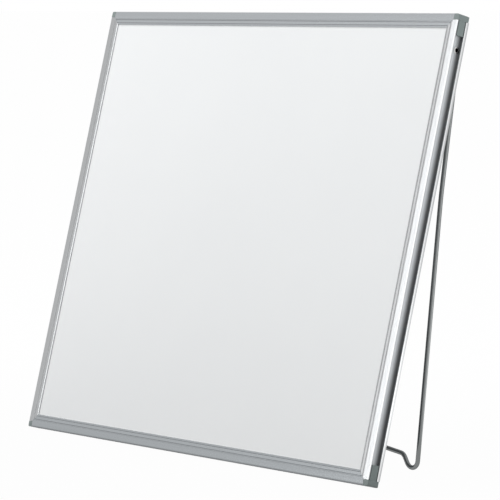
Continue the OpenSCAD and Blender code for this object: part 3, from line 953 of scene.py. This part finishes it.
eyelet_outline = (
    [(EYE_R, FLANGE_T / 2 - SHOULDER), (BORE_R, FLANGE_T / 2 - SHOULDER)]
    + [(BORE_R, -BARREL_LENGTH), (BARREL_R, -BARREL_LENGTH), (BARREL_R, 0), (BARREL_R + COLLAR, 0)]
    + arc(FLANGE_R - RIM_R, FLANGE_T - RIM_R, RIM_R, -60, 90, 10)
    + arc(EYE_R + EYE_ROLL_R, FLANGE_T - EYE_ROLL_R, EYE_ROLL_R, 90, 180, 6)
)
for side, sign in (("left", -1), ("right", 1)):
    mesh = turned("eyelet", eyelet_outline, 48, nickel)
    web_x = sign * (BOARD_W / 2 - CHANNEL_DEPTH)
    at_web = Matrix.Translation((web_x, PIVOT_DEPTH, PIVOT_UP))
    mesh.transform(LEANING @ at_web @ Matrix.Scale(sign, 4, (1, 0, 0)))
    outwards(mesh)
    hand_in(
        "rolled_eyelet_" + side, crisp(mesh, 50), "board", "plated_eyelets", "pivot_eyelet_" + side
    )

# %% [markdown]
# ## A screw
#
# Each corner cap is held by two small pan-head screws. A screw is turned
# like an eyelet, but its outline starts and ends on the axis. The cross in
# the head is driven in by a punch of two crossed wedges.

# %% Blank and punch
SCREW_R, HEAD_R, HEAD_H, SCREW_LENGTH, TIP = 0.7, 1.3, 0.8, 2.3, 0.35
CROSS_SLOT, CROSS_TALL, CROSS_TOP, CROSS_ROOT = 0.3, 0.7, 1.24, 0.68

screw_outline = (
    [(0, -SCREW_LENGTH), (SCREW_R - TIP, -SCREW_LENGTH), (SCREW_R, -SCREW_LENGTH + TIP)]
    + [(SCREW_R, 0), (HEAD_R, 0)]
    + [(HEAD_R * dcos(a), HEAD_H / 2 * (1 + dsin(a))) for a in range(0, 91, 15)]
)
screw_mesh = turned("screw_blank", screw_outline, 24, zinc)
outwards(screw_mesh)

work = bmesh.new()
for turn in (0, pi / 2):
    for vert in bmesh.ops.create_cube(work, size=1.0)["verts"]:
        wide = CROSS_TOP if vert.co.x > 0 else CROSS_ROOT
        place = (HEAD_H + vert.co.x * CROSS_TALL, vert.co.y * wide, vert.co.z * CROSS_SLOT)
        vert.co = Matrix.Rotation(turn, 3, "X") @ Vector(place)
cross_mesh = bpy.data.meshes.new("cross_punch")
work.to_mesh(cross_mesh)
work.free()
print("screw blank:", len(screw_mesh.polygons), "faces, punch:", len(cross_mesh.polygons))

# %% [markdown]
# ## Eight places
#
# All eight screws are alike, so one is made and a recipe sets a copy on
# each of eight points. A point carries two facts: where it is and which
# way its screw looks. From each corner one looks up or down the board and
# one looks across it.

# %% Where the screws sit
SCREW_AT, SCREW_SPARE = 7.8, 0.15
screw_back = rib_back + HEAD_R + SCREW_SPARE
screw_places, looks = [], []
for side in (-1, 1):
    for upwards, edge in ((1, 0), (-1, BOARD_H)):
        in_rail = (side * (BOARD_W / 2 - SCREW_AT), screw_back, edge + upwards * WEB_IN)
        in_stile = (side * (BOARD_W / 2 - WEB_IN), screw_back, edge + upwards * SCREW_AT)
        screw_places += [in_rail, in_stile]
        looks += [(0, 0, upwards), (-side, 0, 0)]
points_mesh = bpy.data.meshes.new("screw_places")
points_mesh.from_pydata(screw_places, [], [])
points_mesh.attributes.new("looks", "FLOAT_VECTOR", "POINT").data.foreach_set(
    "vector", [part for look in looks for part in look]
)
print("screws:", len(screw_places))

# %% [markdown]
# ## Punch once, set eight times
#
# The recipe cuts the cross with a boolean before it makes the copies, so
# the slow step is done once. The blank has to be a closed skin: one loose
# edge left on the axis and the boolean returns nothing.

# %% Recipe of the screws
screws = Recipe("set_screws", Blank="Object", Cross="Object", Finish="Material")
body = screws.node("GeometryNodeObjectInfo", output=4, Object=screws["Blank"])
punch = screws.node("GeometryNodeObjectInfo", output=4, Object=screws["Cross"])
cut = screws.tree.nodes.new("GeometryNodeMeshBoolean")
cut.operation = "DIFFERENCE"
cut.solver = "EXACT"
cut.inputs["Self Intersection"].default_value = True
screws.tree.links.new(body, cut.inputs["Mesh 1"])
screws.tree.links.new(punch, cut.inputs["Mesh 2"])
look = screws.node("GeometryNodeInputNamedAttribute", {"data_type": "FLOAT_VECTOR"}, Name="looks")
turn = screws.node("FunctionNodeAlignRotationToVector", {"axis": "X"}, Vector=look)
copies = screws.node(
    "GeometryNodeInstanceOnPoints",
    Points=screws["Geometry"], Instance=cut.outputs[0], Rotation=turn,
)
screws.finish(copies, screws["Finish"])

blank, cross = (bpy.data.objects.new(m.name, m) for m in (screw_mesh, cross_mesh))
for part in (blank, cross):
    scene.collection.objects.link(part)
mesh = screws.run(points_mesh, Blank=blank, Cross=cross, Finish=zinc)
for part in (blank, cross):
    bpy.data.objects.remove(part)
mesh.transform(LEANING)
outwards(mesh)
hand_in(
    "cap_screws", crisp(mesh, 35), "board", "zinc_screws",
    "cap_screws_top_left", "cap_screws_top_right",
    "cap_screws_bottom_left", "cap_screws_bottom_right",
)

# %% [markdown]
# ## The wire stand
#
# The stand is one length of wire, bent on a jig. A maker reads it as a
# list: so far straight, then bend by an angle round a radius, towards a
# side. The angles, the radii and a few lengths are chosen. The other
# lengths follow from them, so that the legs reach the desk and the two
# halves meet in the middle of the crossbar.

# %% Lengths between the bends
WIRE_R, OPEN_ANGLE, LAP, HAIR, BLOCK_BASE = 1.25, 14.6, 0.1, 0.02, 0.7
END_BEND_R, CRANK_START, CRANK_ANGLE, CRANK_BEND_R = 2.0, 5.0, 20.0, 5.0
UPPER_SPLAY, LEG_SPLAY, UPPER_LENGTH, SPLAY_BEND_R, BOW_R = 9.4, 6.9, 55.0, 15.0, 300.0
FOOT_R, RISER_ANGLE, RISER_LENGTH, BAR_BEND_R = 4.6, 58.0, 3.5, 4.5
BAR_RISE, ARCH_R = 7.0, 280.0

# The crank sets the legs flush with the back of the frame when they fold
pin_inner_x = BOARD_W / 2 - WEB_IN - BLOCK_BASE - HAIR
crank = FRAME_DEPTH - WIRE_R - PIVOT_DEPTH
crank_length = (crank - 2 * CRANK_BEND_R * (1 - dcos(CRANK_ANGLE))) / dsin(CRANK_ANGLE)
crank_run = (
    CRANK_START + 2 * CRANK_BEND_R * dsin(CRANK_ANGLE) + crank_length * dcos(CRANK_ANGLE) + LAP
)
# The legs reach from the pivot to the desk
foot_drop = pivot.z / MM - WIRE_R
leg_length = (
    foot_drop - END_BEND_R - crank_run - SPLAY_BEND_R * dsin(UPPER_SPLAY)
    - UPPER_LENGTH * dcos(UPPER_SPLAY) - BOW_R * (dsin(UPPER_SPLAY) - dsin(LEG_SPLAY))
    - FOOT_R * (1 - dsin(LEG_SPLAY))
) / dcos(LEG_SPLAY)
# Headings count from straight down (0) over inwards (90) to up (180)
riser, bar = 90 + RISER_ANGLE, 90 + BAR_RISE
lower_x = (
    pin_inner_x - END_BEND_R - SPLAY_BEND_R * (1 - dcos(UPPER_SPLAY))
    - UPPER_LENGTH * dsin(UPPER_SPLAY) - BOW_R * (dcos(LEG_SPLAY) - dcos(UPPER_SPLAY))
)
foot_x = lower_x - leg_length * dsin(LEG_SPLAY) - FOOT_R * (dcos(LEG_SPLAY) - dcos(riser))
bar_x = foot_x - RISER_LENGTH * dsin(riser) - BAR_BEND_R * (dcos(bar) - dcos(riser))
bar_length = (bar_x - ARCH_R * dsin(BAR_RISE)) / dsin(bar)
bar_crown = (
    foot_drop - FOOT_R * (1 - dsin(riser)) + RISER_LENGTH * dcos(riser)
    - BAR_BEND_R * (dsin(bar) - dsin(riser)) + bar_length * dcos(bar) - ARCH_R * (1 - dsin(bar))
)
wire_moves = [
    # straight, bend, radius, towards (0 down or out, -90 back, 90 front, 180 in)
    (PIN_OUTER_X - pin_inner_x, 90, END_BEND_R, 0),
    (CRANK_START, CRANK_ANGLE, CRANK_BEND_R, -90),
    (crank_length, CRANK_ANGLE, CRANK_BEND_R, 90),
    (LAP, UPPER_SPLAY, SPLAY_BEND_R, 180),
    (UPPER_LENGTH, UPPER_SPLAY - LEG_SPLAY, BOW_R, 0),
    (leg_length, riser - LEG_SPLAY, FOOT_R, 180),
    (RISER_LENGTH, riser - bar, BAR_BEND_R, 0),
    (bar_length, 0, 0, 0),
]
print("straight lengths: crank %.3f, leg %.3f, crossbar %.3f mm" % (
    crank_length, leg_length, bar_length))

# %% [markdown]
# ## Following the bends
#
# A snail on the wire carries its own directions with it. Each move shifts
# it straight on, and each bend carries it round an arc. The points that it
# passes are the wire's centre line. The crossbar's long arch is a formula,
# and the other half of the wire is the mirror image of the first.

# %% The wire's centre line
ARCH_STEPS, BEND_STEP = 14, 4


def follow(moves, start):
    """Points along straights and bends, from a start frame."""
    here, path = start.copy(), [start.to_translation()]
    for straight, bend, radius, towards in moves:
        here = here @ Matrix.Translation((0, 0, straight))
        path.append(here.to_translation())
        if bend:
            facing = here @ Matrix.Rotation(radians(towards), 4, "Z")
            count = max(4, round(bend / BEND_STEP))
            for i in range(1, count + 1):
                a = bend * i / count
                path.append(facing @ Vector((radius * (1 - dcos(a)), 0, radius * dsin(a))))
            here = (
                facing
                @ Matrix.Translation((radius, 0, 0))
                @ Matrix.Rotation(radians(bend), 4, "Y")
                @ Matrix.Translation((-radius, 0, 0))
                @ Matrix.Rotation(radians(-towards), 4, "Z")
            )
    return path


def arch_point(angle):
    """A point of the crossbar's arch, at an angle from its middle."""
    return Vector((ARCH_R * dsin(angle), crank, -bar_crown - ARCH_R * (1 - dcos(angle))))


start = (
    Matrix.Translation((PIN_OUTER_X, 0, 0))
    @ Matrix.Rotation(radians(-90), 4, "Y")
    @ Matrix.Rotation(radians(180), 4, "Z")
)
half = follow(wire_moves, start)
arch = [arch_point(BAR_RISE * (1 - i / ARCH_STEPS)) for i in range(1, 2 * ARCH_STEPS)]
path = half + arch + [Vector((-p.x, p.y, p.z)) for p in reversed(half)]
wire_length = sum((b - a).length for a, b in zip(path, path[1:]))
gap = (half[-1] - arch_point(BAR_RISE)).length
print("wire: %d points, %.0f mm long, joins the arch within %.3f mm" % (
    len(path), wire_length, gap))

# %% [markdown]
# ## A round wire along the path
#
# Moving a circle along a curve is what Geometry Nodes does best. The curve
# comes in, the recipe spaces its points, carries a circle along them and
# closes both ends.

# %% Recipe of the wire
SPACING, ROUND_SIDES = 0.9, 28

wire = Recipe("round_wire", Radius="Float", Spacing="Float", Finish="Material")
even = wire.node(
    "GeometryNodeResampleCurve", {"mode": "LENGTH"}, Curve=wire["Geometry"], Length=wire["Spacing"]
)
circle = wire.node(
    "GeometryNodeCurvePrimitiveCircle", {"mode": "RADIUS"},
    Resolution=ROUND_SIDES, Radius=wire["Radius"],
)
swept = wire.node("GeometryNodeCurveToMesh", Curve=even, Profile_Curve=circle, Fill_Caps=True)
wire.finish(swept, wire["Finish"])

STAND = (
    LEANING
    @ Matrix.Translation((0, PIVOT_DEPTH, PIVOT_UP))
    @ Matrix.Rotation(radians(OPEN_ANGLE), 4, "X")
)
centre_line = outline_curve("wire_path", path, closed=False)
mesh = wire.run(centre_line, Radius=WIRE_R, Spacing=SPACING, Finish=chrome)
mesh.transform(STAND)
outwards(mesh)
hand_in("bent_wire_stand", crisp(mesh, 50), "stand", "chromed_wire", "wire_stand")

# %% [markdown]
# ## The sheets
#
# The three sheets of the board are plain rectangles, and the CAD shape
# says all there is to say. They keep their meshes and only get finishes.

# %% Finishes of the sheets
for node, material in (
    ("writing_surface", enamel_white),
    ("core_board", hardboard_brown),
    ("backing_sheet", galvanised_sheet),
):
    sheet = frame["nodes"][node].data
    sheet.materials.clear()
    sheet.materials.append(material)
    print("finished", node, "with", material.name)

# %% [markdown]
# ## The size of the dressed object
#
# The dressed object must fill the same box as the CAD model. Both boxes
# are written out so that they can be compared.

# %% Sizes of the boxes
dressed_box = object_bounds()
for label, box in (("CAD", cad_box), ("dressed", dressed_box)):
    print("%-8s" % label, " x ".join("%.2f" % ((b - a) / MM) for a, b in zip(*box)), "mm")
